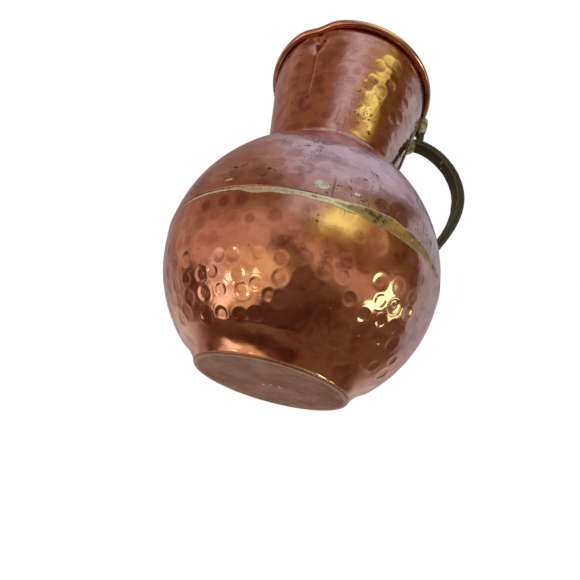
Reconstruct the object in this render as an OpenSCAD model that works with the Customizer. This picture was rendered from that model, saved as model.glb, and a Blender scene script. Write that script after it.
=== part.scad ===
// Hammered copper water jug: a round belly raised in two halves, a flared neck with a pinched
// pouring lip, and a cast brass handle. Millimetres, +Z up, standing on z = 0. The handle is
// on +X and the pouring lip on -X.

/* [Body] */
// Widest diameter of the belly
belly_d = 160; // [140:1:200]
// Height of the belly's widest ring above the table
belly_z = 70.5; // [64:0.5:80]
// Height of the brazed joint between the two halves of the belly
joint_z = 66; // [60:0.5:70]
// Thickness of the copper sheet
sheet = 1.0; // [0.8:0.1:1.4]

/* [Foot] */
// Radius of the flat base
base_r = 41.2; // [36:0.2:46]
// Rounding of the heel between the base and the foot
heel_r = 1.2; // [0.8:0.2:3]
// Height at which the foot turns out into the belly
foot_z = 11.8; // [9:0.2:16]

/* [Neck] */
// Outer radius of the neck where it leaves the shoulder
neck_root_r = 42; // [38:0.5:46]
// Lean of the neck's wall, in degrees from upright
neck_lean = 10; // [6:0.5:14]
// Outer radius of the neck just under the rolled rim
neck_top_r = 55; // [48:0.1:60]
// Height of the middle of the rolled rim
rim_z = 224.7; // [210:0.1:235]
// Diameter of the wire inside the rolled rim
wire_d = 3; // [2.4:0.1:4.4]
// How far the rim is pushed in at each side of the pouring lip
rim_pinch = 2; // [0:0.5:5]
// How far the wall under the rim is pushed in at the same place
wall_pinch = 5.5; // [0:0.5:8]
// Angle from the middle of the lip to each pinch
pinch_angle = 57; // [40:1:70]

/* [Handle] */
// Width of the handle bar
bar_w = 9.5; // [7:0.5:12]
// Thickness of the handle bar at its outermost point
bar_t = 6.6; // [4:0.1:8]
// Reach of the handle's middle line from the axis of the jug
handle_reach = 90.4; // [86:0.2:98]

/* [Hidden] */
$fn = 96;

belly_r = belly_d / 2;
low_power = 1.96;
low_depth = belly_r * 1.004;
high_power = 1.89;
high_rise = belly_r * 1.073;

// Foot: the side between the heel and the belly is pulled towards this point, so it is hollow
foot_pull = [base_r + 4.4, 7.2];

// Belly joint: the bowl's lip runs up inside the shoulder, and spelter fills the groove
lip_h = 5;
groove_h = 2.4;
braze_proud = 0.35;

// Neck
flange_r = 46.5;
neck_hole_r = 41;
root_top_z = 147;
neck_ease_z = 206;
wire_r = wire_d / 2;
curl_fit = 0.02;
curl_in = wire_r + curl_fit;
neck_sheet = 0.9;
curl_out = curl_in + neck_sheet;
rim_r = neck_top_r + curl_in;
curl_end = -120;
pinch_spread = 6;
pinch_low_z = 172;
pinch_deep_z = 214;
rim_low_z = rim_z - curl_out;
lap_half = 7;
lap_step = 0.6;
lap_fade = 52.5;
lap_t = 0.9;
lap_top_z = 218;
seam_bead = 1;

// Handle
tail_t = 5.2;
head_t = 5.2;
brace_x = 57.8;
brace_t = 5.2;
brace_low_z = 194.5;
brace_top_z = rim_low_z - 0.3;
handle_gap = 0.05;
solder_gap = 0.05;

// ---------------------------------------------------------------- outlines

function arc(c, r, a0, a1, n) = [for (i = [0 : n]) let (a = a0 + (a1 - a0) * i / n)
    c + r * [cos(a), sin(a)]];

function bezier3(a, b, c, d, t) = pow(1 - t, 3) * a + 3 * pow(1 - t, 2) * t * b
    + 3 * (1 - t) * t * t * c + pow(t, 3) * d;

function bezier2(a, b, c, t) = pow(1 - t, 2) * a + 2 * (1 - t) * t * b + t * t * c;

function reverse(p) = [for (i = [len(p) - 1 : -1 : 0]) p[i]];

// Points of an open line moved sideways by d, to the left of the way that it runs
function beside(p, d) = [for (i = [0 : len(p) - 1])
    let (v = p[min(i + 1, len(p) - 1)] - p[max(i - 1, 0)]) p[i] + d * [-v[1], v[0]] / norm(v)];

function low_belly_r(z) =
    belly_r * pow(1 - pow(abs(belly_z - z) / low_depth, low_power), 1 / low_power);
function shoulder_r(z) =
    belly_r * pow(1 - pow(max(z - belly_z, 0) / high_rise, high_power), 1 / high_power);
function shoulder_z(r) =
    belly_z + high_rise * pow(1 - pow(r / belly_r, high_power), 1 / high_power);
// The neck is a plain cone that turns upright just under the rim
function cone_r(z) = neck_root_r + tan(neck_lean) * (z - shoulder_z(neck_hole_r));
function neck_r(z) = cone_r(z) - (cone_r(rim_low_z) - neck_top_r)
    * pow(max(z - neck_ease_z, 0) / (rim_low_z - neck_ease_z), 2);

// Outside of the foot and the lower belly, from the middle of the base up to height top
function bowl_line(top, n) = concat(
    [[0, 0]],
    arc([base_r, heel_r], heel_r, -90, 0, 6),
    [for (i = [1 : 7]) bezier2([base_r + heel_r, heel_r], foot_pull, [low_belly_r(foot_z), foot_z], i / 7)],
    [for (i = [1 : n]) let (z = foot_z + (top - foot_z) * i / n) [low_belly_r(z), z]]);

// Outside of the upper belly from height z0 up to the radius r1, in even steps of slope
function shoulder_line(z0, r1, n) = let (z1 = shoulder_z(r1))
    [for (i = [0 : n]) let (z = z0 + (z1 - z0) * (1 - pow(1 - i / n, 1.5)))
        [z < belly_z ? low_belly_r(z) : shoulder_r(z), z]];

// ---------------------------------------------------------------- belly

module lower_bowl() {
    edge_z = joint_z - groove_h / 2;
    outside = bowl_line(edge_z, 26);
    inside = concat([[0, sheet]], [for (p = beside(outside, sheet)) if (p[0] > 0 && p[1] >= sheet) p]);
    lip_r = low_belly_r(joint_z) - sheet;
    color("chocolate") rotate_extrude() polygon(concat(
        outside,
        [[lip_r, edge_z], [lip_r + 0.1, joint_z + lip_h], [lip_r - sheet, joint_z + lip_h]],
        [[lip_r - sheet, edge_z - sheet]],
        [for (p = reverse(inside)) if (p[1] < edge_z - 2 * sheet) p]));
}

module shoulder() {
    edge_z = joint_z + groove_h / 2;
    outside = shoulder_line(edge_z, neck_hole_r, 30);
    inside = beside(outside, sheet);
    color("sienna") rotate_extrude() polygon(concat(
        outside,
        [for (p = reverse(inside)) if (p[1] > joint_z + lip_h + sheet) p],
        [[low_belly_r(joint_z) - sheet + 0.15, joint_z + lip_h + sheet / 2],
         [low_belly_r(joint_z) - sheet + 0.15, edge_z]]));
}

module belly_braze() {
    r = low_belly_r(joint_z);
    h = groove_h / 2 - solder_gap;
    color("khaki") rotate_extrude() polygon([
        [r - sheet + 0.2, joint_z - h], [r + 0.02, joint_z - h], [r + braze_proud, joint_z - h / 2],
        [r + braze_proud, joint_z + h / 2], [r + 0.02, joint_z + h], [r - sheet + 0.2, joint_z + h]]);
}

// ---------------------------------------------------------------- neck

// How far the wall is pushed in at angle a and height z, by the two pinches beside the lip
function near_pinch(a) = min([for (s = [-1, 1]) let (d = abs(a - 180 + s * pinch_angle))
    min(d, 360 - d)]);
function wall_depth(z) = z < pinch_low_z ? 0
    : z < pinch_deep_z
        ? wall_pinch * pow(sin(90 * (z - pinch_low_z) / (pinch_deep_z - pinch_low_z)), 2)
    : z < rim_low_z ? wall_pinch
        - (wall_pinch - rim_pinch) * pow((z - pinch_deep_z) / (rim_low_z - pinch_deep_z), 2)
    : rim_pinch;
function pinch(a, z) = wall_depth(z) * exp(-pow(near_pinch(a) / pinch_spread, 2));

// The neck's sheet laps over itself under the handle: a clean edge on the -Y side, and a slow
// return to the round on the other
function lap(a, z) = z > lap_top_z || z < root_top_z ? 0
    : a <= lap_half || a >= 360 - lap_half ? lap_t
    : a < lap_fade ? lap_t * (1 + cos(180 * (a - lap_half) / (lap_fade - lap_half))) / 2
    : 0;

// Angles round the neck, closer together at the pinches and at the lap
neck_angles = concat(
    [0, lap_half],
    [for (a = [15 : 7.5 : 105]) a],
    [for (a = [180 - pinch_angle - 14 : 3.5 : 180 - pinch_angle + 14]) a],
    [for (a = [144 : 9 : 216]) a],
    [for (a = [180 + pinch_angle - 14 : 3.5 : 180 + pinch_angle + 14]) a],
    [for (a = [255 : 7.5 : 345]) a],
    [360 - lap_half - lap_step, 360 - lap_half]);

// Outside of the neck from the edge of its flange up to the rim
function neck_line() = let (
        flange = [flange_r, shoulder_z(flange_r) + 0.9],
        corner = [neck_root_r + 0.3, shoulder_z(neck_root_r) + 0.9],
        start = [neck_r(root_top_z), root_top_z])
    concat([for (i = [0 : 3]) bezier2(flange, corner, start, i / 4)],
           [start],
           [for (z = [172, neck_ease_z, lap_top_z - 6, lap_top_z, rim_low_z]) [neck_r(z), z]]);

// Section of the neck: up its outside, round the wire, and down its inside
function neck_section() = let (outside = neck_line(), inside = beside(outside, neck_sheet))
    concat(
        outside,
        arc([rim_r, rim_z], curl_in, 180, curl_end, 8),
        arc([rim_r, rim_z], curl_out, curl_end, 180, 10),
        [for (p = reverse(inside)) if (p[1] < rim_low_z - 1 && p[1] > shoulder_z(flange_r) + 2) p],
        [[flange_r - 0.5, shoulder_z(flange_r - 0.5) + 0.06]]);

// Two triangles between sections i and i2, from point j to the next of their m points
function strip(i, i2, j, m) = let (j2 = (j + 1) % m)
    [[i * m + j, i * m + j2, i2 * m + j2], [i * m + j, i2 * m + j2, i2 * m + j]];

// A closed ring whose section is given at each angle
module ring(sections) {
    m = len(sections[0]);
    n = len(sections);
    polyhedron(
        points = [for (s = sections) for (p = s) p],
        faces = [for (i = [0 : n - 1]) for (j = [0 : m - 1]) for (f = strip(i, (i + 1) % n, j, m)) f]);
}

function is_outside(k, outer_n) = k > 4 && k < outer_n;

module neck() {
    section = neck_section();
    outer_n = len(neck_line()) - 1;
    color("peru") ring([for (a = neck_angles)
        [for (k = [0 : len(section) - 1])
            let (p = section[k], r = p[0] - pinch(a, p[1]) + (is_outside(k, outer_n) ? lap(a, p[1]) : 0))
            [r * cos(a), r * sin(a), p[1]]]]);
}

module neck_root_braze() {
    z = shoulder_z(flange_r);
    color("khaki") rotate_extrude() polygon([
        [flange_r + 0.05, z + 0.12], [flange_r + 0.05, z + 0.85], [flange_r + 1.6, z - 1.15]]);
}

module neck_seam_braze() {
    heights = [for (z = [root_top_z + 2 : 11 : lap_top_z - 6]) z];
    function corner(z, a, lift) = let (r = neck_r(z) + lift) [r * cos(a), r * sin(a), z];
    a0 = lap_half + lap_step + 0.15;
    color("khaki") polyhedron(
        points = [for (z = heights) for (c = [[a0, 0.08], [a0, 0.7], [a0 + seam_bead, 0.08]])
            corner(z, -c[0], c[1])],
        faces = concat(
            [[2, 1, 0]],
            [for (i = [0 : len(heights) - 2]) for (j = [0 : 2]) for (f = strip(i, i + 1, j, 3)) f],
            [[for (j = [0 : 2]) 3 * (len(heights) - 1) + j]]));
}

module rim_wire() {
    color("dimgray") ring([for (a = neck_angles)
        [for (p = arc([rim_r, rim_z], wire_r, 360, 45, 7))
            let (r = p[0] - pinch(a, rim_z)) [r * cos(a), r * sin(a), p[1]]]]);
}

// ---------------------------------------------------------------- handle

// Middle line of the bar: out from the neck, round, and down to the shoulder
head = [47, 193.5];
crest = [65.6, 202.6];
fall = [handle_reach, 181];
far = [handle_reach, 153.5];
turn = [handle_reach, 136.5];
drop = [handle_reach - 6.4, 123.4];
tail = [72.6, 101.4];
bar_line = concat(
    [for (i = [0 : 13]) bezier3(head, crest, fall, far, i / 14)],
    [for (i = [0 : 14]) bezier3(far, turn, drop, tail, i / 14)]);
function bar_half(i) = (i < 14 ? head_t + (bar_t - head_t) * i / 14
    : bar_t + (tail_t - bar_t) * (i - 14) / 14) / 2;
function bar_edge(side) = let (left = beside(bar_line, 1))
    [for (i = [0 : len(bar_line) - 1]) bar_line[i] + side * bar_half(i) * (left[i] - bar_line[i])];

// Stands a flat outline up in the plane of the handle, w wide
module upright(w) {
    rotate([90, 0, 0]) translate([0, 0, -w / 2]) linear_extrude(height = w) children();
}

// The space that the neck with its lap, and the shoulder, take up
module neck_and_shoulder(gap) {
    rotate_extrude($fn = 240) polygon(concat(
        [[0, belly_z]],
        [for (p = shoulder_line(belly_z, flange_r, 24)) p + [gap, gap]],
        [for (z = [root_top_z, neck_ease_z, lap_top_z - 6, lap_top_z, rim_low_z])
            [neck_r(z) + lap_t + gap, z]],
        [[0, rim_low_z]]));
}

module handle() {
    color("darkolivegreen") difference() {
        union() {
            upright(bar_w) polygon(concat(bar_edge(1), reverse(bar_edge(-1))));
            upright(bar_w) polygon([
                [brace_x - brace_t / 2, brace_low_z], [brace_x + brace_t / 2, brace_low_z],
                [brace_x + brace_t / 2 + 0.4, 214], [brace_x + brace_t / 2, brace_top_z],
                [brace_x - brace_t / 2 - 1, brace_top_z], [brace_x - brace_t / 2 - 0.4, 212]]);
        }
        neck_and_shoulder(handle_gap);
    }
}

module brace_solder() {
    color("silver") difference() {
        upright(bar_w + 3.6) polygon([
            [50, 208], [brace_x - 1, 207], [brace_x + 0.8, 212], [brace_x + 0.2, 218], [50, 219]]);
        neck_and_shoulder(handle_gap);
        handle();
    }
}

// A collar of solder round one end of the bar, on the line that it leaves the copper along
module solder_collar(at, tilt, r_low, r_high, h) {
    color("silver") difference() {
        translate([at[0], 0, at[1]]) rotate([0, tilt, 0])
            translate([0, 0, -5]) cylinder(h = h + 5, r1 = r_low + 5 * (r_low - r_high) / h, r2 = r_high);
        neck_and_shoulder(handle_gap);
        handle();
    }
}

module handle_root_solder() {
    solder_collar([neck_r(194) + lap_t, 194], 84, 8, 5.2, 4);
}

module handle_tail_solder() {
    solder_collar([shoulder_r(104), 104], 62, 9.5, 5.4, 4);
}

lower_bowl();
shoulder();
belly_braze();
neck();
neck_root_braze();
neck_seam_braze();
rim_wire();
handle();
brace_solder();
handle_root_solder();
handle_tail_solder();
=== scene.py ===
import math

import bpy
import numpy as np
from mathutils import Matrix, Vector


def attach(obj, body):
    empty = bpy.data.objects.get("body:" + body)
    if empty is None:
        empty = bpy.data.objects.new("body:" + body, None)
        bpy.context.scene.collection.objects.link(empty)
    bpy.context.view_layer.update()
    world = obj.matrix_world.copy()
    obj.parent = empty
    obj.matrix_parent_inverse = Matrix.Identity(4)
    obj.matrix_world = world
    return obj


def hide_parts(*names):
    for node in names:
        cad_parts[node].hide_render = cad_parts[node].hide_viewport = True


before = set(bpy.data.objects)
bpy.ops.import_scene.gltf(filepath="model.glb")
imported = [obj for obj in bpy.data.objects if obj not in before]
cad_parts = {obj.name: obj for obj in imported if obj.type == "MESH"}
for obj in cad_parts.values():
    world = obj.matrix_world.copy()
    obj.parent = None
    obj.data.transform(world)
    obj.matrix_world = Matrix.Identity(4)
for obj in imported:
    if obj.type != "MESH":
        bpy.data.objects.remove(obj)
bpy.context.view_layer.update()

# ---- Lower bowl ---------------------------------------------------------------------------
# The lower half of the belly, raised from one disc of copper sheet. Round planishing marks
# cover its wall; the foot and the flat base were left plain, and the base is scuffed dull.

MM = 0.001
JUG = "root"  # the one body: nothing on this jug moves
BELLY_R = 80.0
BELLY_Z = 70.5  # height of the widest ring
BOWL_DROP = BELLY_R * 1.004  # how far the bowl's curve would reach below the widest ring
BOWL_POWER = 1.96  # 2 would be an ellipse
JOINT_Z = 66.0
JOINT_GROOVE = 2.4
LIP = 5.0  # how far the bowl's edge runs up inside the shoulder
SHEET = 1.0
BELLY_COLUMNS = 720
GRAIN = 0.7  # mm between the rounds of the finest mesh


def low_belly_r(z):
    """Radius of the lower belly at height z."""
    return BELLY_R * (1 - (abs(BELLY_Z - z) / BOWL_DROP) ** BOWL_POWER) ** (1 / BOWL_POWER)


def arc(centre, radius, start, end, steps):
    """Points of a circle's arc, the angles in degrees."""
    turns = np.radians(np.linspace(start, end, steps + 1))
    return [(centre[0] + radius * math.cos(t), centre[1] + radius * math.sin(t)) for t in turns]


def pulled(start, pull, end, steps):
    """Points of a curve from start to end, drawn towards a third point."""
    t = np.linspace(0, 1, steps)[:, None]
    return (1 - t) ** 2 * np.array(start) + 2 * t * (1 - t) * np.array(pull) + t * t * np.array(end)


def length_along(line):
    """How far along the line each of its points lies."""
    return np.concatenate([[0], np.cumsum(np.hypot(*np.diff(line, axis=0).T))])


def spaced(points, step):
    """The same line with its points about one step apart."""
    line = np.array(points, float)
    run = length_along(line)
    at = np.linspace(0, run[-1], max(2, int(round(run[-1] / step)) + 1))
    return np.stack([np.interp(at, run, line[:, 0]), np.interp(at, run, line[:, 1])], 1)


def beside(line, distance):
    """The line moved to the left of the way that it runs."""
    way = np.gradient(line, axis=0)
    way /= np.linalg.norm(way, axis=1)[:, None]
    return line + distance * np.stack([-way[:, 1], way[:, 0]], 1)


def eased(t):
    """A soft step from 0 to 1."""
    t = np.clip(t, 0, 1)
    return t * t * (3 - 2 * t)


def hammer_marks(line, columns, draw, pitch, size, depth, first, last, crisp=1.0):
    """How deep each point of a turned wall lies in its hammer marks, and how it is worn there.

    The marks stand in loose staggered rounds between the distances first and last along the
    line, depth(z) deep at height z, with a few left out. A crisp mark is a flat-bottomed dish
    with a thin raised edge. Wear is above 0 where a mark is brown and below 0 where its edge
    is painted bright: partly rubbed wear, partly a painted highlight on the raised edge.
    """
    run = length_along(line)
    deep, edge, rubbed_and_highlight, brown = (np.zeros((len(line), columns)) for k in range(4))
    at = first
    while at < last:
        radius = np.interp(at, run, line[:, 0])
        count = int(2 * math.pi * radius / pitch)
        phase = draw.uniform()
        for k in range(count):
            s = at + draw.normal(0, 0.15 * pitch)
            a = (k + phase + draw.normal(0, 0.15)) * 2 * math.pi / count
            mark = size / 2 * draw.uniform(0.75, 1.12)
            if draw.uniform() < 0.08:
                continue
            hit = depth(np.interp(s, run, line[:, 1])) * draw.uniform(0.6, 1.25)
            stain = draw.uniform(0.2, 1.0) ** 2
            rows = np.nonzero(abs(run - s) < 1.4 * mark)[0]
            reach = 1.4 * mark / radius
            near = np.arange(math.floor((a - reach) / (2 * math.pi) * columns),
                             math.ceil((a + reach) / (2 * math.pi) * columns) + 1)
            off = near * 2 * math.pi / columns - a
            q = np.hypot((run[rows] - s)[:, None], line[rows, 0][:, None] * off[None, :]) / mark
            flat = 0.8 * crisp
            dish = hit * (flat * eased((1 - q) / 0.45) + (1 - flat) * np.clip(1 - q * q, 0, 1))
            ring = np.exp(-((q - 1.1) / 0.14) ** 2)
            part = np.ix_(rows, near % columns)
            deep[part] = np.maximum(deep[part], dish)
            edge[part] = np.maximum(edge[part], 0.25 * crisp * hit * ring)
            rubbed_and_highlight[part] = np.maximum(rubbed_and_highlight[part], ring)
            brown[part] = np.maximum(brown[part], stain * eased((1 - q) / 0.4))
        at += pitch * 0.88
    between = np.exp(-deep / 0.03)
    return deep - edge * between, brown - crisp ** 3 * rubbed_and_highlight * between * (1 - brown)


def waves(line, columns, draw, height, count=14):
    """Slow unevenness of a hand-raised wall, always inward."""
    run = length_along(line)
    turn = np.arange(columns) * 2 * math.pi / columns
    field = np.zeros((len(line), columns))
    for k in range(count):
        around = draw.integers(1, 12)
        along = draw.uniform(-0.12, 0.12)
        field += np.sin(around * turn[None, :] + along * run[:, None] + draw.uniform(0, 6.3))
    return height * (field.max() - field) / (field.max() - field.min())


def skin(name, points, poles=None, paint=None, materials=(), finish=None):
    """A closed mesh from rounds of points, [round, column, xyz] in mm.

    Without poles, the last round joins the first. finish gives the material of each round,
    and paint gives each point a number for the materials.
    """
    rounds, columns = points.shape[:2]
    verts = points.reshape(-1, 3)
    index = np.arange(rounds * columns).reshape(rounds, columns)
    right = np.roll(index, -1, axis=1)
    last = rounds if poles is None else rounds - 1
    above, above_right = np.roll(index, -1, axis=0), np.roll(right, -1, axis=0)
    quads = np.stack([index, right, above_right, above], -1)[:last].reshape(-1, 4)
    rows = np.repeat(np.arange(last), columns)
    tris = np.zeros((0, 3), int)
    if poles is not None:
        verts = np.concatenate([verts, poles])
        a, b = len(verts) - 2, len(verts) - 1
        tris = np.concatenate([
            np.stack([np.full(columns, a), right[0], index[0]], -1),
            np.stack([np.full(columns, b), index[-1], right[-1]], -1)])
        rows = np.concatenate([rows, np.zeros(columns, int), np.full(columns, rounds - 1)])
    mesh = bpy.data.meshes.new(name)
    mesh.vertices.add(len(verts))
    mesh.vertices.foreach_set("co", (verts * MM).astype(np.float32).ravel())
    corners = np.concatenate([quads.ravel(), tris.ravel()]).astype(np.int32)
    mesh.loops.add(len(corners))
    mesh.loops.foreach_set("vertex_index", corners)
    mesh.polygons.add(len(quads) + len(tris))
    starts = np.concatenate([np.arange(len(quads)) * 4, quads.size + np.arange(len(tris)) * 3])
    mesh.polygons.foreach_set("loop_start", starts.astype(np.int32))
    mesh.update(calc_edges=True)
    if finish is not None:
        mesh.polygons.foreach_set("material_index", np.asarray(finish, np.int32)[rows])
    mesh.shade_smooth()
    if paint is not None:
        values = np.zeros(len(verts), np.float32)
        values[:paint.size] = paint.ravel()
        mesh.attributes.new("paint", "FLOAT", "POINT").data.foreach_set("value", values)
    for material in materials:
        mesh.materials.append(material)
    piece = bpy.data.objects.new(name, mesh)
    bpy.context.collection.objects.link(piece)
    return piece


def turned(line, columns, inward=0.0):
    """Rounds of points of a turned wall, its points moved in along the wall's normal."""
    way = np.gradient(line, axis=0)
    way /= np.maximum(np.linalg.norm(way, axis=1), 1e-9)[:, None]
    normal = np.stack([way[:, 1], -way[:, 0]], 1)
    turn = np.arange(columns) * 2 * math.pi / columns
    r = line[:, 0][:, None] - normal[:, 0][:, None] * inward
    z = line[:, 1][:, None] - normal[:, 1][:, None] * inward
    r, z = np.broadcast_arrays(r + 0 * turn[None, :], z + 0 * turn[None, :])
    return np.stack([r * np.cos(turn), r * np.sin(turn), z], -1)


def add(tree, kind, inputs=None, **settings):
    """Adds a shader node; each input is a value or another node's output."""
    node = tree.nodes.new("ShaderNode" + kind)
    for key, value in settings.items():
        setattr(node, key, value)
    for key, value in (inputs or {}).items():
        if isinstance(value, bpy.types.NodeSocket):
            tree.links.new(value, node.inputs[key])
        else:
            node.inputs[key].default_value = value
    return node


def fresh_material(name):
    """A new material with its shader and the object's own coordinates."""
    material = bpy.data.materials.new(name)
    material.use_nodes = True
    tree = material.node_tree
    tree.nodes.clear()
    shader = add(tree, "BsdfPrincipled")
    add(tree, "OutputMaterial", {"Surface": shader.outputs[0]})
    place = add(tree, "TexCoord").outputs["Object"]
    return material, tree, shader, place


def ramp(tree, value, low, high, at_low=0.0, at_high=1.0):
    """A soft step: at_low below the value low, at_high above the value high."""
    return add(tree, "MapRange", {"Value": value, "From Min": low, "From Max": high, "To Min": at_low,
                                  "To Max": at_high}, interpolation_type="SMOOTHSTEP").outputs[0]


def noise(tree, place, scale, detail=3.0, rough=0.55, low=0.35, high=0.65):
    """Cloudy variation from 0 to 1."""
    cloud = add(tree, "TexNoise", {"Vector": place, "Scale": scale, "Detail": detail, "Roughness": rough})
    return ramp(tree, cloud.outputs[0], low, high)


def stretched(tree, place, turn, scale):
    """Coordinates turned and stretched, for scratches and file strokes."""
    return add(tree, "Mapping", {"Vector": place, "Rotation": turn, "Scale": scale}).outputs[0]


def blend(tree, factor, a, b):
    """Colour a where factor is 0 and b where it is 1."""
    mix = add(tree, "Mix", {"Factor": factor}, data_type="RGBA")
    for socket, value in ((mix.inputs[6], a), (mix.inputs[7], b)):
        if isinstance(value, bpy.types.NodeSocket):
            tree.links.new(value, socket)
        else:
            socket.default_value = (*value, 1)
    return mix.outputs[2]


def calc(tree, operation, a, b=0.0, c=0.0):
    """One step of arithmetic between nodes or numbers."""
    return add(tree, "Math", {0: a, 1: b, 2: c}, operation=operation).outputs[0]


def relief(tree, shader, height, strength, distance):
    """Puts a fine relief on a shader."""
    bump = add(tree, "Bump", {"Height": height, "Strength": strength, "Distance": distance})
    tree.links.new(bump.outputs[0], shader.inputs["Normal"])


def copper(name, fresh, aged, stain, gloss, dull, wear, polish=None):
    """Worn copper: clouds of fresh and aged metal, brown stains, ragged pits and scratches.

    wear, from 0 to 1, is how pitted and scratched it is. Below the heights in polish, in mm,
    it is as glossy as gloss; above them, or without them, it is between gloss and dull. The
    paint attribute darkens it with brown stains and painted shade, and lightens the marks'
    edges with rubbed wear and a painted highlight.
    """
    material, tree, shader, place = fresh_material(name)
    broad = noise(tree, place, 24, 3, 0.6, 0.40, 0.62)
    small = noise(tree, place, 130, 5, 0.65, 0.36, 0.68)
    film = noise(tree, place, 44, 6, 0.7, 0.50, 0.66)
    smear = noise(tree, stretched(tree, place, (0.3, 0.2, 0.6), (55, 55, 150)), 1.0, 4, 0.65, 0.52, 0.66)
    colour = blend(tree, broad, fresh, aged)
    bruise = noise(tree, place, 88, 2, 0.5, 0.50, 0.62)
    colour = blend(tree, calc(tree, "MULTIPLY", small, 0.5), colour, aged)
    colour = blend(tree, calc(tree, "MULTIPLY", film, 0.6), colour, stain)
    colour = blend(tree, calc(tree, "MULTIPLY", bruise, 0.22 + 0.2 * wear), colour, stain)
    colour = blend(tree, calc(tree, "MULTIPLY", smear, 0.3 + 0.2 * wear), colour, stain)
    # the paint attribute darkens towards stain: brown stains in the hammer marks and, on the neck, painted
    # shade in the creases and under the bead
    mark = add(tree, "Attribute", attribute_name="paint").outputs["Fac"]
    colour = blend(tree, calc(tree, "MULTIPLY", calc(tree, "MAXIMUM", mark, 0.0), 0.75), colour, stain)
    # where the paint attribute is below 0, the marks' edges turn pale: partly rubbed wear, partly a painted
    # highlight
    rubbed_and_highlight = calc(tree, "MULTIPLY", calc(tree, "MINIMUM", mark, 0.0), calc(tree, "MULTIPLY", small, -0.6))
    colour = blend(tree, rubbed_and_highlight, colour, (1.0, 0.76, 0.60))
    # ragged dark pits, in groups
    group = noise(tree, place, 42, 2, 0.5, 0.62 - 0.13 * wear, 0.72 - 0.13 * wear)
    pit = calc(tree, "MULTIPLY", noise(tree, place, 430, 3, 0.6, 0.60, 0.65), group)
    # short scratches two ways
    one = noise(tree, stretched(tree, place, (0.4, 0.5, 1.0), (700, 60, 40)), 1.0, 2, 0.5, 0.64, 0.70)
    two = noise(tree, stretched(tree, place, (0.2, -0.9, -1.8), (50, 620, 60)), 1.0, 2, 0.5, 0.64, 0.70)
    scratch = calc(tree, "MULTIPLY", calc(tree, "MAXIMUM", one, two),
                   noise(tree, place, 40, 2, 0.5, 0.62 - 0.14 * wear, 0.76 - 0.14 * wear))
    dark = calc(tree, "MAXIMUM", calc(tree, "MULTIPLY", pit, 0.85), calc(tree, "MULTIPLY", scratch, 0.5))
    colour = blend(tree, dark, colour, (0.05, 0.028, 0.022))
    tree.links.new(colour, shader.inputs["Base Color"])
    level = calc(tree, "MULTIPLY_ADD", broad, 0.5, calc(tree, "MULTIPLY", small, 0.25))
    level = calc(tree, "MULTIPLY_ADD", film, 0.25, level)
    if polish:
        height = add(tree, "SeparateXYZ", {"Vector": place}).outputs["Z"]
        up = ramp(tree, height, polish[0] * MM, polish[1] * MM)
        level = calc(tree, "MULTIPLY", up, calc(tree, "MULTIPLY_ADD", level, 0.5, 0.5))
    rough = calc(tree, "MULTIPLY_ADD", level, dull - gloss, gloss)
    rough = calc(tree, "MULTIPLY_ADD", dark, 0.4, rough)
    tree.links.new(rough, shader.inputs["Roughness"])
    grain = noise(tree, place, 800, 3, 0.6, 0.3, 0.7)
    height = calc(tree, "MULTIPLY_ADD", grain, 0.05, calc(tree, "MULTIPLY", small, 0.16))
    height = calc(tree, "MULTIPLY_ADD", dark, -0.9, height)
    relief(tree, shader, height, 0.35, 0.0002)
    shader.inputs["Metallic"].default_value = 1.0
    shader.inputs["Coat Weight"].default_value = 0.35
    shader.inputs["Coat Roughness"].default_value = 0.2
    shader.inputs["Coat IOR"].default_value = 1.45
    return material


bowl_copper = copper("hammered_copper_bowl", (0.90, 0.51, 0.37), (0.73, 0.35, 0.235),
                     (0.37, 0.12, 0.08), gloss=0.07, dull=0.27, wear=0.3, polish=(38, 58))
inside_copper = copper("aged_copper_inside", (0.50, 0.24, 0.15), (0.34, 0.16, 0.10),
                       (0.20, 0.10, 0.07), gloss=0.32, dull=0.5, wear=0.3)

BASE_R = 41.2
base_copper, tree, shader, place = fresh_material("scuffed_copper_base")
cloud = noise(tree, place, 45, 5, 0.65, 0.35, 0.65)
grit = noise(tree, place, 300, 5, 0.7, 0.40, 0.66)
colour = blend(tree, cloud, (0.48, 0.25, 0.15), (0.36, 0.175, 0.10))
colour = blend(tree, calc(tree, "MULTIPLY", grit, 0.4), colour, (0.26, 0.125, 0.075))
rings = add(tree, "VectorMath", {0: place}, operation="LENGTH").outputs["Value"]
near_middle = ramp(tree, rings, 4 * MM, 11 * MM, 1.0, 0.0)
scuff = calc(tree, "MULTIPLY", near_middle, noise(tree, place, 260, 2, 0.5, 0.61, 0.64))
colour = blend(tree, scuff, colour, (0.95, 0.80, 0.68))
edge_wear = ramp(tree, rings, (BASE_R - 2.7) * MM, BASE_R * MM)
colour = blend(tree, calc(tree, "MULTIPLY", edge_wear, 0.6), colour, (0.52, 0.28, 0.18))
tree.links.new(colour, shader.inputs["Base Color"])
tree.links.new(calc(tree, "MULTIPLY_ADD", cloud, 0.12, calc(tree, "MULTIPLY_ADD", edge_wear, -0.2, 0.46)),
               shader.inputs["Roughness"])
relief(tree, shader, calc(tree, "MULTIPLY_ADD", cloud, 0.6, grit), 0.4, 0.0003)
shader.inputs["Metallic"].default_value = 0.8

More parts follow.
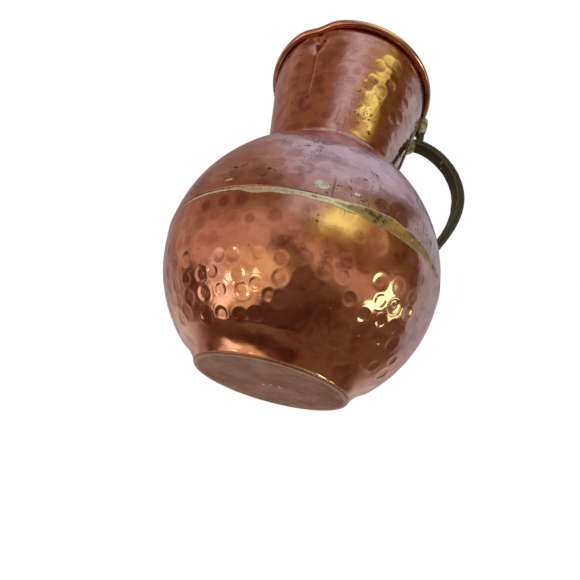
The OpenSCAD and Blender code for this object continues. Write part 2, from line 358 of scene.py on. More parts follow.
HEEL_R = 1.2
FOOT_Z = 11.8
FOOT_PULL = (BASE_R + 4.4, 7.2)
heel = arc((BASE_R, HEEL_R), HEEL_R, -90, 0, 6)
foot = pulled((BASE_R + HEEL_R, HEEL_R), FOOT_PULL, (low_belly_r(FOOT_Z), FOOT_Z), 12)[1:]
edge_z = JOINT_Z - JOINT_GROOVE / 2
wall = [(low_belly_r(z), z) for z in np.linspace(FOOT_Z, edge_z, 120)[1:]]
base_line = spaced([(3.0, 0.0), (BASE_R, 0.0)], 1.6)[:-1]
wall_line = np.concatenate([heel, spaced([heel[-1], *foot, *wall], GRAIN)[1:]])
outside = np.concatenate([base_line, wall_line])
lip_r = low_belly_r(JOINT_Z) - SHEET
inside = beside(outside, SHEET)
inside = inside[(inside[:, 1] < edge_z - 2 * SHEET) & (inside[:, 1] >= SHEET - 0.01)][::-1][::3]
inside[:, 1] = np.maximum(inside[:, 1], SHEET)
lip = np.array([(lip_r, edge_z), (lip_r + 0.1, JOINT_Z + LIP), (lip_r - SHEET, JOINT_Z + LIP),
                (lip_r - SHEET, edge_z - SHEET)])

draw = np.random.default_rng(7)


def bowl_depth(z):
    """Marks are deepest low on the bowl and fade towards the joint."""
    return 0.27 - 0.20 * float(eased((z - 34) / 16))


deep, wear = hammer_marks(wall_line, BELLY_COLUMNS, draw, pitch=9.9, size=8.4, depth=bowl_depth,
                          first=22.0, last=96)
# the marks are shallow at the front, between two stretches of deep ones
degrees = np.arange(BELLY_COLUMNS) * 360 / BELLY_COLUMNS
shallow = np.exp(-((degrees - 272) / 17) ** 2)
deep *= 1 - 0.7 * shallow
wear *= 1 - 0.7 * shallow
slow = waves(wall_line, BELLY_COLUMNS, draw, height=0.35)
height = wall_line[:, 1][:, None]
slow *= np.clip(height / 12, 0, 1) * np.clip((edge_z - height) / 6, 0, 1)
rounds = np.concatenate([turned(base_line, BELLY_COLUMNS), turned(wall_line, BELLY_COLUMNS, deep + slow),
                         turned(lip, BELLY_COLUMNS), turned(inside, BELLY_COLUMNS)])
paint = np.zeros(rounds.shape[:2])
# brown stains grow towards the top; the marks' edges are painted bright low on the bowl, partly rubbed wear
# and partly a painted highlight
paint[len(base_line):len(outside)] = wear * np.where(wear > 0, 0.35 + 0.65 * eased((height - 38) / 8),
                                                     0.8 * eased((44 - height) / 14))
finish = np.zeros(len(rounds), int)
finish[:len(base_line) + len(heel) - 1] = 2
finish[len(outside) + 2:] = 1
bowl = skin("bowl_wall", rounds, [(0, 0, 0), (0, 0, SHEET)], paint,
            [bowl_copper, inside_copper, base_copper], finish)
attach(bowl, JUG)
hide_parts("lower_bowl")

# ---- Shoulder -----------------------------------------------------------------------------
# The upper half of the belly, raised from a second disc and opened at the top for the neck.
# It was planished smoother than the bowl, and it is stained, pitted and scratched by use.

NECK_HOLE_R = 41.0
SHOULDER_RISE = BELLY_R * 1.073  # how far its curve would reach above the widest ring
SHOULDER_POWER = 1.89


def shoulder_r(z):
    """Radius of the upper belly at height z."""
    if z < BELLY_Z:
        return low_belly_r(z)
    return BELLY_R * (1 - ((z - BELLY_Z) / SHOULDER_RISE) ** SHOULDER_POWER) ** (1 / SHOULDER_POWER)


def shoulder_z(r):
    """Height of the upper belly at radius r."""
    return BELLY_Z + SHOULDER_RISE * (1 - (r / BELLY_R) ** SHOULDER_POWER) ** (1 / SHOULDER_POWER)


shoulder_copper = copper("hammered_copper_shoulder", (0.80, 0.45, 0.35), (0.66, 0.33, 0.24),
                         (0.40, 0.17, 0.135), gloss=0.17, dull=0.32, wear=1.0)
edge_z = JOINT_Z + JOINT_GROOVE / 2
heights = edge_z + (shoulder_z(NECK_HOLE_R) - edge_z) * (1 - (1 - np.linspace(0, 1, 160)) ** 1.5)
outside = spaced([(shoulder_r(z), z) for z in heights], GRAIN)
inside = beside(outside, SHEET)
inside = inside[inside[:, 1] > JOINT_Z + LIP + SHEET][::-1][::3]
skirt_r = low_belly_r(JOINT_Z) - SHEET + 0.15
skirt = np.array([(skirt_r, JOINT_Z + LIP + SHEET / 2), (skirt_r, edge_z)])


def shoulder_depth(z):
    """Faint marks, deeper in some rounds than in others."""
    return 0.12 + 0.05 * math.sin(z * 0.21)


deep, wear = hammer_marks(outside, BELLY_COLUMNS, draw, pitch=10.4, size=9.4, depth=shoulder_depth,
                          first=6, last=92, crisp=0.7)
slow = waves(outside, BELLY_COLUMNS, draw, height=0.35)
slow *= np.clip((outside[:, 1][:, None] - edge_z) / 6, 0, 1)
rounds = np.concatenate([turned(outside, BELLY_COLUMNS, np.maximum(deep + slow, 0)),
                         turned(inside, BELLY_COLUMNS), turned(skirt, BELLY_COLUMNS)])
paint = np.zeros(rounds.shape[:2])
# brown stains in the marks, and their edges painted bright: partly rubbed wear, partly a painted highlight
paint[:len(outside)] = wear * 0.55
finish = np.arange(len(rounds)) >= len(outside)
shoulder = skin("shoulder_wall", rounds, None, paint, [shoulder_copper, inside_copper], finish)
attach(shoulder, JUG)
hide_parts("shoulder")

# ---- Belly braze --------------------------------------------------------------------------
# Brass spelter run into the groove between the two halves of the belly, then filed down. It
# is a thin pale line in places, a wide smear in others, and near the handle a long lens.


def spelter(name, bright, olive, pale):
    """Filed brass spelter: olive in the middle, pale at the edges, with groups of dark pits."""
    material, tree, shader, place = fresh_material(name)
    broad = noise(tree, place, 30, 3, 0.6, 0.4, 0.6)
    small = noise(tree, place, 380, 5, 0.7, 0.4, 0.66)
    colour = blend(tree, calc(tree, "MULTIPLY", broad, 0.12), olive, pale)
    colour = blend(tree, noise(tree, place, 110, 4, 0.6, 0.5, 0.64), colour, bright)
    rim = add(tree, "Attribute", attribute_name="paint").outputs["Fac"]
    colour = blend(tree, calc(tree, "MULTIPLY", rim, 0.8), colour, pale)
    flux = calc(tree, "MULTIPLY", small, noise(tree, place, 95, 3, 0.6, 0.48, 0.60))
    flux = calc(tree, "MULTIPLY", flux, calc(tree, "MULTIPLY_ADD", rim, -0.6, 1.0))
    colour = blend(tree, flux, colour, (0.06, 0.045, 0.025))
    tree.links.new(colour, shader.inputs["Base Color"])
    tree.links.new(calc(tree, "MULTIPLY_ADD", broad, 0.16, calc(tree, "MULTIPLY_ADD", flux, 0.3, 0.24)),
                   shader.inputs["Roughness"])
    relief(tree, shader, calc(tree, "MULTIPLY_ADD", flux, -1.0, calc(tree, "MULTIPLY", small, 0.4)),
           0.7, 0.0004)
    shader.inputs["Metallic"].default_value = 0.55
    return material


braze_brass = spelter("brazing_spelter", (0.80, 0.44, 0.08), (0.40, 0.21, 0.045), (1.0, 1.0, 0.82))

turn = np.arange(BELLY_COLUMNS) * 2 * math.pi / BELLY_COLUMNS


def ripple(turn, draw, low, high, count=9):
    """A closed random line round the jug, between -1 and 1."""
    line = sum(draw.uniform(0.4, 1) * np.sin(draw.integers(low, high) * turn + draw.uniform(0, 6.3))
               for k in range(count))
    return line / abs(line).max()


# width of the braze below and above the joint, by the angle from the handle in degrees
BRAZE_BELOW = ((0, 1.2), (60, 0.8), (120, 1.4), (180, 0.6), (236, 0.5), (242, 0.9), (246, 2.7),
               (252, 2.4), (262, 1.8), (270, 2.4), (284, 2.6), (296, 3.0), (312, 2.2), (322, 0.9),
               (360, 1.2))
BRAZE_ABOVE = ((0, 1.2), (60, 0.9), (120, 1.2), (180, 0.6), (236, 0.6), (244, 1.0), (262, 0.9),
               (274, 1.4), (281, 2.4), (288, 3.7), (295, 4.7), (304, 4.9), (314, 3.9), (319, 1.4),
               (360, 1.2))
LENS_FROM = 276  # degrees, where the braze widens into the lens
fine = ripple(turn, draw, 60, 160)
lower = -np.interp(degrees, *zip(*BRAZE_BELOW)) * (1 + 0.2 * ripple(turn, draw, 9, 40)) - 0.12 * fine
upper = np.interp(degrees, *zip(*BRAZE_ABOVE)) * (1 + 0.1 * ripple(turn, draw, 9, 40)) + 0.12 * fine
BRAZE_ROWS = 17
across = np.linspace(0, 1, BRAZE_ROWS)[:, None]
heights = JOINT_Z + lower + (upper - lower) * across
proud = 0.17 + 0.06 * ripple(turn, draw, 40, 120)[None, :] * np.sin(9 * across)
from_edge = np.minimum(across, 1 - across) * (upper - lower)
proud = proud * np.clip(from_edge / 0.35, 0, 1) ** 0.5 - 0.06 - 0.10 * np.clip((from_edge - 0.9) / 0.8, 0, 1)
radii = np.minimum(np.vectorize(shoulder_r)(heights) + proud, BELLY_R + 0.15)
band = np.stack([radii * np.cos(turn), radii * np.sin(turn), heights], -1)
back_r = low_belly_r(JOINT_Z) - 0.7  # the foot of the braze, inside the groove
back = np.array([(back_r, JOINT_Z + 0.9), (back_r, JOINT_Z - 0.9)])
paint = np.zeros((BRAZE_ROWS + 2, BELLY_COLUMNS))
lens = eased((degrees - LENS_FROM) / 10)
paint[:BRAZE_ROWS] = np.clip(1.6 - 0.2 * lens - from_edge / (1.6 - 1.2 * lens), 0, 1)
braze = skin("belly_braze_line", np.concatenate([band, turned(back, BELLY_COLUMNS)]), None, paint,
             [braze_brass])
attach(braze, JUG)
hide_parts("belly_braze")


def drop(name, angle, z, wide, high):
    """A splash of spelter that ran onto the shoulder and was filed flat."""
    turn = np.arange(40) * 2 * math.pi / 40
    out = np.linspace(0.15, 1, 7)[:, None] * (1 + 0.13 * ripple(turn, draw, 2, 7))
    z = z + high * out * np.sin(turn)
    way = math.radians(angle) + wide * out * np.cos(turn) / BELLY_R
    rim = np.clip((1 - np.linspace(0.15, 1, 7)[:, None]) / 0.3, 0, 1) ** 0.5
    rounds = []
    for lift in (0.16 * rim - 0.04, np.full_like(rim, -0.45)):
        r = np.vectorize(shoulder_r)(z) + lift
        rounds.append(np.stack([r * np.cos(way), r * np.sin(way), z], -1))
    middles = [tuple(layer[0].mean(axis=0)) for layer in rounds]
    paint = np.zeros((14, 40))
    paint[:7] = 0.9
    piece = skin(name, np.concatenate([rounds[0], rounds[1][::-1]])[::-1], middles[::-1], paint[::-1],
                 [braze_brass])
    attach(piece, JUG)


drop("spelter_drop_front", angle=269.0, z=72.6, wide=3.9, high=2.5)
drop("spelter_drop_left", angle=236.5, z=72.0, wide=2.6, high=0.7)
drop("spelter_drop_right", angle=281.0, z=73.6, wide=1.8, high=1.0)

# ---- Neck ---------------------------------------------------------------------------------
# A cone of copper sheet, lapped and brazed to itself under the handle. Its foot is flanged
# over the shoulder, its top is curled out round a wire, and it is pinched beside the lip.

NECK_ROOT_R = 42.0
NECK_LEAN = 10.0  # degrees from upright
NECK_EASE = 206.0  # height where the wall starts to lean less
NECK_TOP_R = 55.0
RIM_Z = 224.7  # height of the wire's middle
WIRE_R = 1.5
NECK_SHEET = 0.9
CURL_IN = WIRE_R + 0.02
CURL_OUT = CURL_IN + NECK_SHEET
RIM_R = NECK_TOP_R + CURL_IN
RIM_LOW = RIM_Z - CURL_OUT  # height where the wall ends and the curl starts
CURL_END = -120.0  # degrees, where the sheet's edge lies on the wire
PINCH_ANGLE = 57.0  # degrees from the middle of the lip
FLANGE_R = 46.5
ROOT_TOP = 147.0  # height where the flange's sweep meets the straight wall
LAP_START, LAP_FLAT, LAP_END = 353, 7, 52.5  # degrees from the handle
LAP_TOP = 218.0
NECK_COLUMNS = 600


def neck_r(z):
    """Outer radius of the neck at height z."""
    lean, root = math.tan(math.radians(NECK_LEAN)), shoulder_z(NECK_HOLE_R)
    over = NECK_ROOT_R + lean * (RIM_LOW - root) - NECK_TOP_R
    return NECK_ROOT_R + lean * (z - root) - over * (max(z - NECK_EASE, 0) / (RIM_LOW - NECK_EASE)) ** 2


def pinch(angle, z):
    """How far the wall is pushed in, by the two pinches beside the pouring lip."""
    away = abs(abs(angle - 180) - PINCH_ANGLE)
    wall = 1.5 * eased((z - 152) / 40) + 3.5 * eased((z - 203) / 14) - 2.9 * eased((z - 217) / 5)
    fold = np.exp(-(np.sqrt(away ** 2 + 0.5) - 0.71) / (1.3 + 1.7 * eased((z - 200) / 22)))
    soft = np.exp(-(away / 9) ** 2)
    return wall * np.where(z > RIM_LOW, soft, 0.6 * fold + 0.4 * soft)


def lap(angle, z):
    """The overlap of the neck's own sheet under the handle: sharp on one side, faired on the other."""
    faired = np.clip((angle - LAP_FLAT) / (LAP_END - LAP_FLAT), 0, 1)
    step = np.where(angle <= LAP_END, NECK_SHEET * (1 + np.cos(np.pi * faired)) / 2, 0)
    step = np.where(angle >= LAP_START, NECK_SHEET, step)
    return step * np.clip((z - 144) / 3, 0, 1) * np.clip((LAP_TOP - z) / 2, 0, 1)


neck_copper = copper("hammered_copper_neck", (0.90, 0.50, 0.35), (0.72, 0.35, 0.22),
                     (0.40, 0.14, 0.11), gloss=0.11, dull=0.22, wear=0.7)
flange_top = (FLANGE_R, shoulder_z(FLANGE_R) + NECK_SHEET)
corner = (NECK_ROOT_R + 0.3, shoulder_z(NECK_ROOT_R) + NECK_SHEET)
flange = pulled(flange_top, corner, (neck_r(ROOT_TOP), ROOT_TOP), 12)
outside = spaced([*flange, *[(neck_r(z), z) for z in np.linspace(ROOT_TOP, RIM_LOW, 60)[1:]]], GRAIN)
curl = arc((RIM_R, RIM_Z), CURL_IN, 180, CURL_END, 16)
bead = arc((RIM_R, RIM_Z), CURL_OUT, CURL_END, 180, 26)
inside = beside(outside, NECK_SHEET)
inside = inside[(inside[:, 1] < RIM_LOW - 1) & (inside[:, 1] > shoulder_z(FLANGE_R) + 2)][::-1][::2]
hem = np.array([(FLANGE_R - 0.5, shoulder_z(FLANGE_R - 0.5) + 0.06)])
line = np.concatenate([outside, curl, bead, inside, hem])


def neck_depth(z):
    """Marks of middling depth that fade at the root and under the rim."""
    return 0.17 * min(max((z - 150) / 8, 0), 1) * min(max((RIM_LOW - 6 - z) / 12, 0.1), 1)


deep, wear = hammer_marks(outside, NECK_COLUMNS, draw, pitch=10.2, size=10.0, depth=neck_depth,
                          first=9, last=84, crisp=0.55)
angle = np.arange(NECK_COLUMNS) * 360 / NECK_COLUMNS
# the marks are shallower on the lip's side than from the front round to the handle
deep *= 0.35 + 0.65 * eased((angle - 262) / 14)
slow = waves(outside, NECK_COLUMNS, draw, height=0.45) * np.clip((outside[:, 1][:, None] - 150) / 10, 0, 1)
slow *= np.clip((RIM_LOW - outside[:, 1][:, None]) / 6, 0, 1)
rounds = turned(line, NECK_COLUMNS)
heights = line[:, 1][:, None]
radii = line[:, 0][:, None] - pinch(angle[None, :], np.minimum(heights, RIM_Z))
radii[:len(outside)] += lap(angle[None, :], heights[:len(outside)]) - np.maximum(deep + slow, 0)
rounds[..., 0] = radii * np.cos(np.radians(angle))
rounds[..., 1] = radii * np.sin(np.radians(angle))
paint = np.zeros(rounds.shape[:2])
# painted shade darkens the crease of each pinch, which widens near its top, and the line under the bead
crease_shade_width = 1.2 + 1.8 * eased((heights - 204) / 16)
crease_shade = np.exp(-(abs(abs(angle - 180) - PINCH_ANGLE) / crease_shade_width) ** 2)
painted_shade = np.maximum(crease_shade * eased((heights - 160) / 40), eased((heights - RIM_LOW + 1.8) / 1.2))
# the neck's paint: brown stains in the hammer marks, and painted shade in the creases and under the bead
paint[:len(outside)] = np.maximum(wear * 0.75, 1.2 * painted_shade[:len(outside)])
finish = np.arange(len(rounds)) >= len(outside) + len(curl) + len(bead)
neck = skin("neck_wall_and_rim", rounds, None, paint, [neck_copper, inside_copper], finish)
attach(neck, JUG)
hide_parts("neck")

# ---- Neck brazes and rim wire ---------------------------------------------------------------
# Spelter along the edge of the flange and along the lap under the handle, and the drawn iron
# wire inside the curl. These keep their built shapes and get their finishes here.


def give(node, material):
    """Puts one material on all of a built node's slots."""
    mesh = bpy.data.objects[node].data
    mesh.materials.clear()
    mesh.materials.append(material)


iron, tree, shader, place = fresh_material("drawn_iron_wire")
rust = noise(tree, place, 240, 4, 0.6, 0.45, 0.62)
tree.links.new(blend(tree, rust, (0.20, 0.16, 0.13), (0.12, 0.06, 0.04)), shader.inputs["Base Color"])
tree.links.new(calc(tree, "MULTIPLY_ADD", rust, 0.3, 0.4), shader.inputs["Roughness"])
shader.inputs["Metallic"].default_value = 0.9
give("rim_wire", iron)
root_brass = spelter("spelter_at_neck_root", (0.82, 0.60, 0.36), (0.50, 0.30, 0.20), (0.60, 0.42, 0.32))
give("neck_root_braze", root_brass)
give("neck_seam_braze", root_brass)

# ---- Handle -------------------------------------------------------------------------------
# One brass casting: a flat bar bent into a finger loop, with a short upright brace near its
# top. It has gone dark olive, and its edges are painted brighter: partly rubbed wear, partly a painted
# highlight.

BAR_W = 9.5
BAR_T = 6.6
END_T = 5.2  # the bar's thickness at its ends
REACH = 90.35  # from the jug's axis to the middle of the bar
# points (x, z) that draw the bar's middle line, down to its furthest point and on to its tail
HEAD, CREST, FALL, FAR = (47, 193.5), (65.6, 202.6), (REACH, 181), (REACH, 153.5)
TURN, DROP, TAIL = (REACH, 136.5), (REACH - 6.4, 123.4), (72.6, 101.4)
BRACE_X = 57.8


def bezier(points, t):
    """A point on the curve drawn by four points."""
    a, b, c, d = (np.array(p, float) for p in points)
    return (1 - t) ** 3 * a + 3 * (1 - t) ** 2 * t * b + 3 * (1 - t) * t * t * c + t ** 3 * d


def rounded(width, thick, corner_power, steps=28):
    """Outline of a bar with eased corners."""
    t = np.arange(steps) * 2 * math.pi / steps
    c, s = np.cos(t), np.sin(t)
    k = (abs(c) ** corner_power + abs(s) ** corner_power) ** (-1 / corner_power)
    return np.stack([c * k * width / 2, s * k * thick / 2], 1)


def lofted(name, middle, sizes, corner_power=5.0):
    """A capped bar in the handle's plane along the points (x, z), with (width, thickness) at each."""
    middle = np.array(middle, float)
    way = np.gradient(middle, axis=0)
    way /= np.linalg.norm(way, axis=1)[:, None]
    side = np.stack([-way[:, 1], way[:, 0]], 1)
    rings = []
    for point, across, (width, thick) in zip(middle, side, sizes):
        section = rounded(width, thick, corner_power)
        rings.append(np.stack([point[0] + across[0] * section[:, 1], section[:, 0],
                               point[1] + across[1] * section[:, 1]], 1))
    return skin(name, np.array(rings), [(p[0], 0, p[1]) for p in (middle[0], middle[-1])])


def finer(points, steps):
    """The same row of points or sizes, evenly filled in."""
    points = np.array(points, float)
    at = np.linspace(0, len(points) - 1, steps)
    return np.stack([np.interp(at, range(len(points)), points[:, k]) for k in (0, 1)], 1)


def fuse(name, parts, voxel, smooth, lumps, seed):
    """Joins overlapping solids into one cast or soldered skin with soft inner corners."""
    bpy.ops.object.select_all(action="DESELECT")
    for part in parts:
        part.select_set(True)
    bpy.context.view_layer.objects.active = parts[0]
    if len(parts) > 1:
        bpy.ops.object.join()
    piece = parts[0]
    piece.name = piece.data.name = name
    remesh = piece.modifiers.new("one skin", "REMESH")
    remesh.mode, remesh.voxel_size = "VOXEL", voxel * MM
    soften = piece.modifiers.new("softened", "SMOOTH")
    soften.factor, soften.iterations = 0.5, smooth
    bpy.ops.object.modifier_apply(modifier="one skin")
    bpy.ops.object.modifier_apply(modifier="softened")
    mesh = piece.data
    co, no = (np.zeros(len(mesh.vertices) * 3, np.float32) for k in range(2))
    mesh.vertices.foreach_get("co", co)
    mesh.vertices.foreach_get("normal", no)
    co, no = co.reshape(-1, 3), no.reshape(-1, 3)
    chance = np.random.default_rng(seed)
    field = np.zeros(len(co))
    for k in range(24):
        wave = chance.normal(0, 1, 3) * chance.choice([350, 700, 1300])
        field += np.sin(co @ wave + chance.uniform(0, 6.3)) / 24 ** 0.5
    co += no * (field * lumps * MM)[:, None]
    mesh.vertices.foreach_set("co", co.ravel())
    mesh.update()
    mesh.shade_smooth()
    return piece


bar_middle = [bezier((HEAD, CREST, FALL, FAR), t) for t in np.linspace(0.03, 1, 30)]
bar_middle += [bezier((FAR, TURN, DROP, TAIL), t) for t in np.linspace(0, 0.97, 26)[1:]]
thick = np.concatenate([np.linspace(END_T, BAR_T, 30), np.linspace(BAR_T, END_T, 26)[1:]])
bar = lofted("bar", bar_middle, [(BAR_W, t) for t in thick])
brace_points = finer([(BRACE_X, 195), (BRACE_X, 201), (BRACE_X + 0.1, 207), (BRACE_X + 0.3, 213),
                      (BRACE_X, 220.5)], 17)
brace_sizes = finer([(7.5, 5.4), (6.8, 4.6), (7.0, 4.4), (8.8, 4.6), (8.2, 4.0)], 17)
brace = lofted("brace", brace_points, brace_sizes)
handle = fuse("handle_casting", [bar, brace], voxel=0.45, smooth=4, lumps=0.06, seed=3)

patina, tree, shader, place = fresh_material("olive_patina_brass")
broad = noise(tree, place, 55, 4, 0.6, 0.36, 0.62)
small = noise(tree, place, 420, 5, 0.7, 0.38, 0.66)
# its sharper edges are painted pale and less rough: partly rubbed wear, partly a painted highlight along the
# bar's edges
edge = add(tree, "NewGeometry").outputs["Pointiness"]
edge = add(tree, "MapRange", {"Value": edge, "From Min": 0.505, "From Max": 0.56}).outputs[0]
colour = blend(tree, broad, (0.028, 0.023, 0.009), (0.052, 0.046, 0.021))
colour = blend(tree, calc(tree, "MULTIPLY", small, 0.5), colour, (0.115, 0.11, 0.055))
colour = blend(tree, calc(tree, "MULTIPLY", edge, 0.8), colour, (0.46, 0.43, 0.25))
tree.links.new(colour, shader.inputs["Base Color"])
tree.links.new(calc(tree, "MULTIPLY_ADD", small, 0.2, calc(tree, "MULTIPLY_ADD", edge, -0.12, 0.40)),
               shader.inputs["Roughness"])
relief(tree, shader, calc(tree, "MULTIPLY_ADD", broad, 0.5, small), 0.5, 0.0003)
shader.inputs["Metallic"].default_value = 0.55
handle.data.materials.append(patina)
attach(handle, JUG)
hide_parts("handle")

# ---- Solders ------------------------------------------------------------------------------
# Soft tin solder holds the handle at three places: round its head at the neck, round its tail
# on the shoulder, and between the brace and the neck, where it was filed in strokes.

tinned, tree, shader, place = fresh_material("dull_tin_solder")
broad = noise(tree, place, 130, 4, 0.6, 0.4, 0.62)
strokes = noise(tree, stretched(tree, place, (0.0, 0.35, 0.0), (900, 900, 110)), 1.0, 3, 0.6, 0.42, 0.6)
colour = blend(tree, broad, (0.64, 0.68, 0.57), (0.36, 0.38, 0.29))
colour = blend(tree, calc(tree, "MULTIPLY", strokes, 0.6), colour, (0.15, 0.16, 0.10))
tree.links.new(colour, shader.inputs["Base Color"])
tree.links.new(calc(tree, "MULTIPLY_ADD", broad, 0.2, 0.34), shader.inputs["Roughness"])
relief(tree, shader, calc(tree, "MULTIPLY_ADD", strokes, -0.7, broad), 0.6, 0.0004)
shader.inputs["Metallic"].default_value = 0.8


def solder_collar(name, node, at, tilt, low, high, rise, seed):
    """A lumpy fillet of solder round one end of the bar."""
    line = spaced([(low, -3.0), (low, -0.2), (low * 0.86, 0.9), (high * 1.05, rise * 0.7),
                   (high * 0.8, rise)], 0.5)
    rounds = turned(line, 48)
    rounds[..., 1] *= 0.92
    collar = skin(name, rounds, [(0, 0, -3.0), (0, 0, rise)])
    collar.data.transform(Matrix.Translation(Vector((at[0] * MM, 0, at[1] * MM)))
                          @ Matrix.Rotation(math.radians(tilt), 4, "Y"))
    collar = fuse(name, [collar], voxel=0.4, smooth=3, lumps=0.16, seed=seed)
    collar.data.materials.append(tinned)
    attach(collar, JUG)
    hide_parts(node)


solder_collar("solder_at_head", "handle_root_solder", at=(neck_r(194) + 0.9, 194), tilt=84,
              low=6.2, high=4.2, rise=3.2, seed=11)
solder_collar("solder_at_tail", "handle_tail_solder", at=(shoulder_r(104), 104), tilt=62,
              low=8.0, high=4.6, rise=3.4, seed=12)
leaf_points = finer([(56.8, 205.5), (57.2, 209.5), (57.4, 214), (57.2, 218), (56.8, 221.6)], 21)
leaf_sizes = finer([(6.0, 3.6), (11.0, 6.8), (13.4, 7.8), (12.6, 7.4), (9.2, 5.4)], 21)
leaf = lofted("leaf", leaf_points, leaf_sizes, corner_power=2.6)
leaf = fuse("solder_at_brace", [leaf], voxel=0.4, smooth=3, lumps=0.14, seed=13)
leaf.data.materials.append(tinned)
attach(leaf, JUG)
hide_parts("brace_solder")

# ---- Stage --------------------------------------------------------------------------------
# A pale floor that the jug stands on, seen through from below, where the camera is, a soft
# light overhead, and a studio of soft coloured cards that the copper mirrors.

floor_mesh = bpy.data.meshes.new("floor")
floor_mesh.from_pydata([(-6, -6, -0.0003), (6, -6, -0.0003), (6, 6, -0.0003), (-6, 6, -0.0003)], [],
                       [(0, 1, 2, 3)])
floor = bpy.data.objects.new("floor", floor_mesh)
bpy.context.collection.objects.link(floor)
paper = bpy.data.materials.new("pale_paper")
paper.use_nodes = True
tree = paper.node_tree
tree.nodes.clear()
pale = add(tree, "BsdfDiffuse", {"Color": (0.9, 0.88, 0.84, 1)})
clear = add(tree, "BsdfTransparent")
below = add(tree, "NewGeometry").outputs["Backfacing"]
both = add(tree, "MixShader", {0: below, 1: pale.outputs[0], 2: clear.outputs[0]})
add(tree, "OutputMaterial", {"Surface": both.outputs[0]})
floor_mesh.materials.append(paper)
floor.visible_glossy = floor.visible_diffuse = floor.visible_shadow = False

soft = bpy.data.lights.new("overhead", "AREA")
soft.shape, soft.size, soft.energy = "DISK", 3.0, 28.0
overhead = bpy.data.objects.new("overhead", soft)
bpy.context.collection.objects.link(overhead)
overhead.location = (0, 0, 2.3)
overhead.visible_camera = overhead.visible_glossy = False

world = bpy.data.worlds.new("studio")
bpy.context.scene.world = world
world.use_nodes = True
tree = world.node_tree
tree.nodes.clear()
way = add(tree, "TexCoord").outputs["Generated"]
sway = add(tree, "TexNoise", {"Vector": way, "Scale": 4.5, "Detail": 3.0}).outputs["Color"]
sway = add(tree, "VectorMath", {0: sway, 1: (0.5, 0.5, 0.5)}, operation="SUBTRACT").outputs[0]
ragged = add(tree, "VectorMath", {0: sway, 1: (0.22, 0.22, 0.22), 2: way},
             operation="MULTIPLY_ADD").outputs[0]
axes = add(tree, "SeparateXYZ", {"Vector": way})
wobbly = add(tree, "SeparateXYZ", {"Vector": ragged})


def mirrored_card(tone, turn, lift, wide, high, colour, roll, soft, square):
    """A soft-edged patch of the studio: turn is 0 at the front and 90 at the handle's side, and
    all angles are in degrees. Returns the studio's colour with the patch laid over it."""
    t, e, k = math.radians(turn), math.radians(lift), math.radians(roll)
    out = Vector((math.sin(t) * math.cos(e), -math.cos(t) * math.cos(e), math.sin(e)))
    level = Vector((math.cos(t), math.sin(t), 0))
    upward = level.cross(-out)
    level, upward = level * math.cos(k) + upward * math.sin(k), upward * math.cos(k) - level * math.sin(k)
    facing = Matrix((level, -out, upward)).transposed().to_euler()
    size = (math.sin(math.radians(wide / 2)), 1.0, math.sin(math.radians(high / 2)))
    local = add(tree, "Mapping", {"Vector": ragged, "Rotation": facing, "Scale": size},
                vector_type="TEXTURE").outputs[0]
    parts = add(tree, "SeparateXYZ", {"Vector": local})
    across, ahead, up = (parts.outputs[k] for k in "XYZ")
    if square:
        off = calc(tree, "MAXIMUM", calc(tree, "ABSOLUTE", across), calc(tree, "ABSOLUTE", up))
    else:
        off = calc(tree, "SQRT", calc(tree, "MULTIPLY_ADD", across, across, calc(tree, "MULTIPLY", up, up)))
    cover = calc(tree, "MULTIPLY", ramp(tree, off, 1 - soft, 1 + soft, 1.0, 0.0),
                 calc(tree, "LESS_THAN", ahead, 0.0))
    return blend(tree, cover, tone, colour)


tone = blend(tree, ramp(tree, wobbly.outputs["Z"], -0.85, -0.15), (0.16, 0.09, 0.05), (0.58, 0.39, 0.28))
sky = blend(tree, ramp(tree, wobbly.outputs["X"], -0.60, -0.10), (0.43, 0.32, 0.255), (0.58, 0.68, 0.96))
sky = blend(tree, ramp(tree, axes.outputs["X"], 0.45, 0.75), sky, (0.46, 0.64, 0.84))
tone = blend(tree, ramp(tree, wobbly.outputs["Z"], 0.40, 0.80), tone, sky)
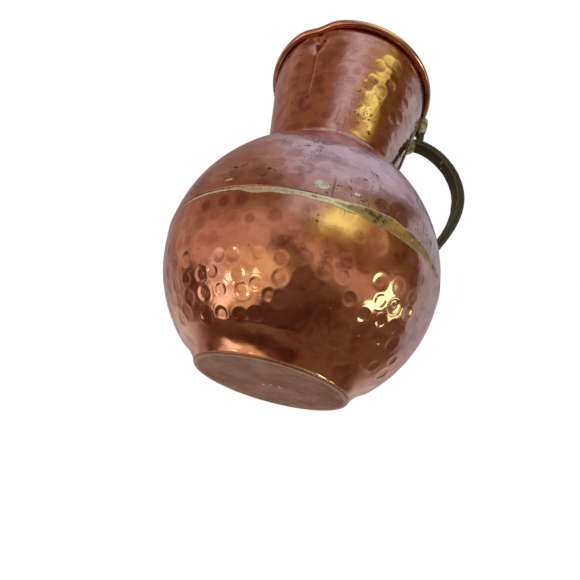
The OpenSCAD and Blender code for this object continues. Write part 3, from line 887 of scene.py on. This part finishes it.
# each card: turn, lift, width, height, colour, roll, softness, and whether it is square
CARDS = (
    (-150, 10, 66, 110, (0.32, 0.205, 0.185), 0, 0.2, True),  # wall beyond the lip
    (-55, 30, 90, 40, (0.26, 0.14, 0.095), 0, 0.3, False),  # brown drape, high on the left
    (-3, 25, 36, 24, (0.62, 0.66, 0.84), 0, 0.4, False),  # pale blind in front
    (38, 0, 60, 22, (0.25, 0.135, 0.052), 0, 0.5, False),  # brown table edge
    (38, -50, 112, 46, (0.17, 0.096, 0.05), 0, 0.26, True),  # dark floor, right
    (-62, -46, 100, 54, (0.14, 0.066, 0.042), 0, 0.12, True),  # dark floor, left
    (-28, -68, 64, 26, (0.085, 0.036, 0.02), 0, 0.5, False),  # its darkest part, underneath
    (-51, -33, 70, 38, (0.76, 0.55, 0.31), 8, 0.3, False),  # warm glow low on the left
    (-78, -27, 24, 26, (1.0, 0.85, 0.74), 0, 0.35, False),  # brightest part of the glow
    (-78, -42, 26, 10, (1.3, 1.1, 0.85), 0, 0.45, False),  # glow on the foot
    (-66, -30, 7, 7, (4.5, 4.0, 3.4), 0, 0.3, False),  # lamp
    (-38, -35, 6, 5, (2.8, 2.2, 1.5), 0, 0.3, False),  # smaller lamp
    (34, 29, 84, 30, (0.42, 0.31, 0.06), 34, 0.45, False),  # gold haze
    (28, 27, 58, 9, (1.2, 1.55, 0.62), 36, 0.4, False),  # gold streak
    (17, 17, 27, 12, (1.6, 2.2, 0.84), 0, 0.45, False),  # brightest part of the streak
    (77, 30, 44, 50, (0.16, 0.08, 0.028), 0, 0.2, True),  # dark curtain beside the handle
    (140, 20, 84, 60, (0.42, 0.48, 0.58), 0, 0.06, True),  # cool wall behind the handle
    (115, -35, 70, 60, (0.18, 0.10, 0.055), 0, 0.2, True),  # brown floor under that wall
    (71, -13, 13, 25, (2.6, 3.6, 2.3), -20, 0.08, False),  # window
    (90, -11, 9, 9, (1.6, 2.3, 1.4), 0, 0.1, False),  # small window
)
for card in CARDS:
    tone = mirrored_card(tone, *card)
behind = ramp(tree, axes.outputs["Y"], 0.5, 0.85)
backdrop = blend(tree, ramp(tree, axes.outputs["Z"], -0.1, 0.1), (0.62, 0.56, 0.52), (0.42, 0.35, 0.35))
tone = blend(tree, behind, tone, backdrop)
studio = add(tree, "Background", {"Color": tone, "Strength": 1.0})
white = add(tree, "Background", {"Color": (1, 1, 1, 1), "Strength": 1.0})
seen = add(tree, "LightPath").outputs["Is Camera Ray"]
both = add(tree, "MixShader", {0: seen, 1: studio.outputs[0], 2: white.outputs[0]})
add(tree, "OutputWorld", {"Surface": both.outputs[0]})
bpy.context.scene.view_settings.view_transform = "Standard"

# ---- Camera -------------------------------------------------------------------------------
# Low and in front, looking up at the base and tilted to one side.

CAMERA_BACK = 0.2373
CAMERA_HEIGHT = -0.0586
CAMERA_YAW = -0.8
CAMERA_PITCH = 26.07
CAMERA_ROLL = 15.81
lens = bpy.data.cameras.new("camera")
lens.sensor_width = 36
lens.lens = 27.91
lens.clip_start, lens.clip_end = 0.01, 50
camera = bpy.data.objects.new("camera", lens)
bpy.context.collection.objects.link(camera)
camera.location = (0, -CAMERA_BACK, CAMERA_HEIGHT)
aim = Matrix.Rotation(math.radians(-CAMERA_YAW), 4, "Z")
aim = aim @ Matrix.Rotation(math.radians(90 + CAMERA_PITCH), 4, "X")
aim = aim @ Matrix.Rotation(math.radians(CAMERA_ROLL), 4, "Z")
camera.rotation_mode = "QUATERNION"
camera.rotation_quaternion = aim.to_quaternion()
bpy.context.scene.camera = camera
